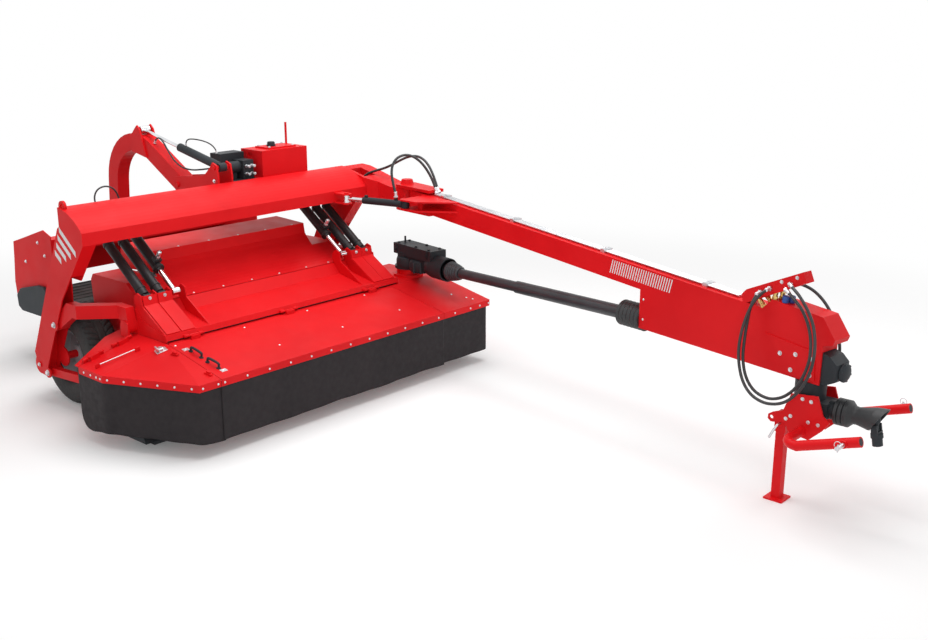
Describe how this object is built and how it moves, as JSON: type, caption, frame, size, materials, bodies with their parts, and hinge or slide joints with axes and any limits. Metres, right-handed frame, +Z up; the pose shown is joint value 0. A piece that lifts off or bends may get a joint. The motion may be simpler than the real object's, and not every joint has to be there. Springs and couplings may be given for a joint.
{
  "type": "trailed disc mower conditioner",
  "caption": "Red trailed disc mower conditioner with curtained hood, swinging drawbar with headstock and PTO yoke, spring-hung mower and a rear swath belt on a folding arch.",
  "frame": {"origin": "on the ground under the middle of the machine's box", "axes": "+X to the machine's left, -Y the driving direction, +Z up"},
  "size_m": [3.4, 7.1028, 2.05],
  "materials": {
    "red_paint": "gloss",
    "dark_paint": "satin",
    "curtain": "matt coated fabric",
    "tyre": "matt",
    "rim": "satin",
    "zinc_steel": "zinc plated",
    "chrome_rod": "polished",
    "boot_rubber": "matt",
    "shaft_guard": "satin",
    "belt_rubber": "matt"
  },
  "bodies": {
    "frame": {"main_beam": "red_paint", "pivot_horn": "red_paint", "legs": "red_paint", "beam_brackets": "red_paint", "oil_tank": "red_paint", "valve_block": "dark_paint"},
    "wheel_right": {"tyre_right": "tyre", "rim_right": "rim"},
    "wheel_left": {"tyre_left": "tyre", "rim_left": "rim"},
    "drawbar": {"drawbar_beam": "red_paint", "oil_pipes": "zinc_steel", "upper_gearbox": "dark_paint", "boot_front": "boot_rubber"},
    "swing_barrel": {"swing_barrel": "dark_paint"},
    "swing_rod": {"swing_rod": "chrome_rod"},
    "headstock": {"lower_gearbox": "dark_paint", "headstock": "red_paint", "pto_guard": "boot_rubber"},
    "pto_yoke": {"pto_yoke": "dark_paint"},
    "stand": {"stand": "red_paint"},
    "lift_arms": {"lift_arms": "red_paint"},
    "lower_links": {"lower_links": "red_paint"},
    "spring_tubes": {"spring_tubes": "dark_paint"},
    "spring_rods": {"spring_rods": "chrome_rod"},
    "lift_barrels": {"lift_barrels": "dark_paint"},
    "lift_rods": {"lift_rods": "chrome_rod"},
    "mower": {"mower_deck": "red_paint", "conditioner_hood": "red_paint", "lift_towers": "red_paint", "mower_frame": "red_paint", "cutter_bar": "dark_paint", "curtain_left": "curtain"},
    "front_flap": {"front_flap": "red_paint", "curtain_front": "curtain"},
    "right_flap": {"right_flap": "red_paint", "curtain_right": "curtain"},
    "rotor": {"conditioner_rotor": "dark_paint"},
    "swivel_gearbox": {"swivel_gearbox": "dark_paint"},
    "shaft_front": {"shaft_front": "shaft_guard"},
    "shaft_rear": {"shaft_rear": "shaft_guard"},
    "belt_arch": {"arch_arm": "red_paint", "belt_frame": "red_paint", "belt_loop": "belt_rubber"},
    "arch_barrel": {"arch_barrel": "dark_paint"},
    "arch_rod": {"arch_rod": "chrome_rod"},
    "disc_1": {"disc_1": "dark_paint"},
    "disc_2": {"disc_2": "dark_paint"},
    "disc_3": {"disc_3": "dark_paint"},
    "disc_4": {"disc_4": "dark_paint"},
    "disc_5": {"disc_5": "dark_paint"},
    "disc_6": {"disc_6": "dark_paint"},
    "disc_7": {"disc_7": "dark_paint"},
    "disc_8": {"disc_8": "dark_paint"}
  },
  "joints": [
    {"name": "wheel_right_spin", "type": "hinge", "parent": "frame", "child": "wheel_right", "pos_m": [-1.243, 2.1164, 0.405], "axis": [1, 0, 0], "continuous": true},
    {"name": "wheel_left_spin", "type": "hinge", "parent": "frame", "child": "wheel_left", "pos_m": [1.465, 2.1164, 0.405], "axis": [1, 0, 0], "continuous": true},
    {"name": "drawbar_swing", "type": "hinge", "parent": "frame", "child": "drawbar", "pos_m": [1.5, 1.1564, 1.42], "axis": [0, 0, 1], "range_deg": [-10, 26]},
    {"name": "swing_barrel_turn", "type": "hinge", "parent": "drawbar", "child": "swing_barrel", "pos_m": [1.12, 0.8064, 1.432], "axis": [0, 0, 1], "range_deg": [-15.69, 6.65]},
    {"name": "swing_rod_slide", "type": "slide", "parent": "swing_barrel", "child": "swing_rod", "axis": [-0.2346, 0.9721, 0], "range_m": [-0.07935, 0.19832]},
    {"name": "headstock_turn", "type": "hinge", "parent": "drawbar", "child": "headstock", "pos_m": [0.83515, -3.04128, 0.815], "axis": [0, 0, 1], "range_deg": [-55, 55]},
    {"name": "pto_spin", "type": "hinge", "parent": "headstock", "child": "pto_yoke", "pos_m": [0.83515, -3.47128, 0.66], "axis": [0, -0.1736, -0.9848], "continuous": true},
    {"name": "stand_lift", "type": "slide", "parent": "headstock", "child": "stand", "axis": [0, 0, 1], "range_m": [0, 0.21]},
    {"name": "mower_lift", "type": "hinge", "parent": "frame", "child": "lift_arms", "pos_m": [0, 2.0264, 0.7], "axis": [-1, 0, 0], "range_deg": [0, 24]},
    {"name": "mower_level", "type": "hinge", "parent": "lift_arms", "child": "mower", "pos_m": [0, 1.4164, 0.745], "axis": [-1, 0, 0], "range_deg": [-25, 0]},
    {"name": "lower_link_turn", "type": "hinge", "parent": "frame", "child": "lower_links", "pos_m": [0, 2.2014, 0.275], "axis": [-1, 0, 0], "range_deg": [0, 25]},
    {"name": "spring_tube_turn", "type": "hinge", "parent": "mower", "child": "spring_tubes", "pos_m": [0, 1.3564, 0.96], "axis": [1, 0, 0], "range_deg": [-13.04, 0]},
    {"name": "spring_rod_slide", "type": "slide", "parent": "spring_tubes", "child": "spring_rods", "axis": [0, 0.8078, 0.5894], "range_m": [-0.18995, 0]},
    {"name": "lift_barrel_turn", "type": "hinge", "parent": "frame", "child": "lift_barrels", "pos_m": [0, 2.1074, 1.508], "axis": [1, 0, 0], "range_deg": [-13.04, 0]},
    {"name": "lift_rod_slide", "type": "slide", "parent": "lift_barrels", "child": "lift_rods", "axis": [0, -0.8078, -0.5894], "range_m": [-0.18995, 0]},
    {"name": "front_flap_open", "type": "hinge", "parent": "mower", "child": "front_flap", "pos_m": [0, 0.9874, 0.712], "axis": [-1, 0, 0], "range_deg": [0, 50]},
    {"name": "right_flap_open", "type": "hinge", "parent": "mower", "child": "right_flap", "pos_m": [-1.185, 1.3589, 0.712], "axis": [-0.9705, 0, -0.2412], "range_deg": [0, 60]},
    {"name": "rotor_spin", "type": "hinge", "parent": "mower", "child": "rotor", "pos_m": [0, 1.4964, 0.43], "axis": [1, 0, 0], "continuous": true},
    {"name": "disc_1_spin", "type": "hinge", "parent": "mower", "child": "disc_1", "pos_m": [-1.323, 0.9164, 0.112], "axis": [0, 0, 1], "continuous": true},
    {"name": "disc_2_spin", "type": "hinge", "parent": "mower", "child": "disc_2", "pos_m": [-0.945, 0.9164, 0.112], "axis": [0, 0, 1], "continuous": true},
    {"name": "disc_3_spin", "type": "hinge", "parent": "mower", "child": "disc_3", "pos_m": [-0.567, 0.9164, 0.112], "axis": [0, 0, 1], "continuous": true},
    {"name": "disc_4_spin", "type": "hinge", "parent": "mower", "child": "disc_4", "pos_m": [-0.189, 0.9164, 0.112], "axis": [0, 0, 1], "continuous": true},
    {"name": "disc_5_spin", "type": "hinge", "parent": "mower", "child": "disc_5", "pos_m": [0.189, 0.9164, 0.112], "axis": [0, 0, 1], "continuous": true},
    {"name": "disc_6_spin", "type": "hinge", "parent": "mower", "child": "disc_6", "pos_m": [0.567, 0.9164, 0.112], "axis": [0, 0, 1], "continuous": true},
    {"name": "disc_7_spin", "type": "hinge", "parent": "mower", "child": "disc_7", "pos_m": [0.945, 0.9164, 0.112], "axis": [0, 0, 1], "continuous": true},
    {"name": "disc_8_spin", "type": "hinge", "parent": "mower", "child": "disc_8", "pos_m": [1.323, 0.9164, 0.112], "axis": [0, 0, 1], "continuous": true},
    {"name": "gearbox_swivel", "type": "hinge", "parent": "mower", "child": "swivel_gearbox", "pos_m": [1.5, 1.1564, 0.765], "axis": [0, 0, 1], "range_deg": [-11, 27]},
    {"name": "shaft_tilt", "type": "hinge", "parent": "drawbar", "child": "shaft_front", "pos_m": [1.06511, -1.58938, 0.915], "axis": [0.9877, -0.1564, 0], "range_deg": [0, 7.56]},
    {"name": "shaft_slide", "type": "slide", "parent": "shaft_front", "child": "shaft_rear", "axis": [0.1563, 0.9871, -0.0336], "range_m": [0, 0.08103]},
    {"name": "arch_raise", "type": "hinge", "parent": "frame", "child": "belt_arch", "pos_m": [0.02, 2.3864, 1.575], "axis": [1, 0, 0], "range_deg": [0, 45]},
    {"name": "arch_barrel_turn", "type": "hinge", "parent": "frame", "child": "arch_barrel", "pos_m": [0.02, 1.8564, 1.765], "axis": [1, 0, 0], "range_deg": [0, 27.82]},
    {"name": "arch_rod_slide", "type": "slide", "parent": "arch_barrel", "child": "arch_rod", "axis": [0, 0.9797, 0.2004], "range_m": [-0.31191, 0]}
  ],
  "couplings": [
    {"joint": "swing_barrel_turn", "follows": "drawbar_swing", "ratio": -0.56492},
    {"joint": "swing_rod_slide", "follows": "drawbar_swing", "m_per_rad": 0.42601},
    {"joint": "mower_level", "follows": "mower_lift", "ratio": -1},
    {"joint": "lower_link_turn", "follows": "mower_lift", "ratio": 1},
    {"joint": "spring_tube_turn", "follows": "mower_lift", "ratio": -0.50186},
    {"joint": "spring_rod_slide", "follows": "mower_lift", "m_per_rad": -0.44153},
    {"joint": "lift_barrel_turn", "follows": "mower_lift", "ratio": -0.50186},
    {"joint": "lift_rod_slide", "follows": "mower_lift", "m_per_rad": -0.44153},
    {"joint": "disc_2_spin", "follows": "disc_1_spin", "ratio": -1},
    {"joint": "disc_3_spin", "follows": "disc_1_spin", "ratio": 1},
    {"joint": "disc_4_spin", "follows": "disc_1_spin", "ratio": -1},
    {"joint": "disc_5_spin", "follows": "disc_1_spin", "ratio": 1},
    {"joint": "disc_6_spin", "follows": "disc_1_spin", "ratio": -1},
    {"joint": "disc_7_spin", "follows": "disc_1_spin", "ratio": 1},
    {"joint": "disc_8_spin", "follows": "disc_1_spin", "ratio": -1},
    {"joint": "gearbox_swivel", "follows": "drawbar_swing", "ratio": 1},
    {"joint": "shaft_tilt", "follows": "mower_lift", "ratio": 0.27333},
    {"joint": "shaft_slide", "follows": "mower_lift", "m_per_rad": 0.18152},
    {"joint": "arch_barrel_turn", "follows": "arch_raise", "ratio": 0.5959},
    {"joint": "arch_rod_slide", "follows": "arch_raise", "m_per_rad": -0.39077}
  ]
}
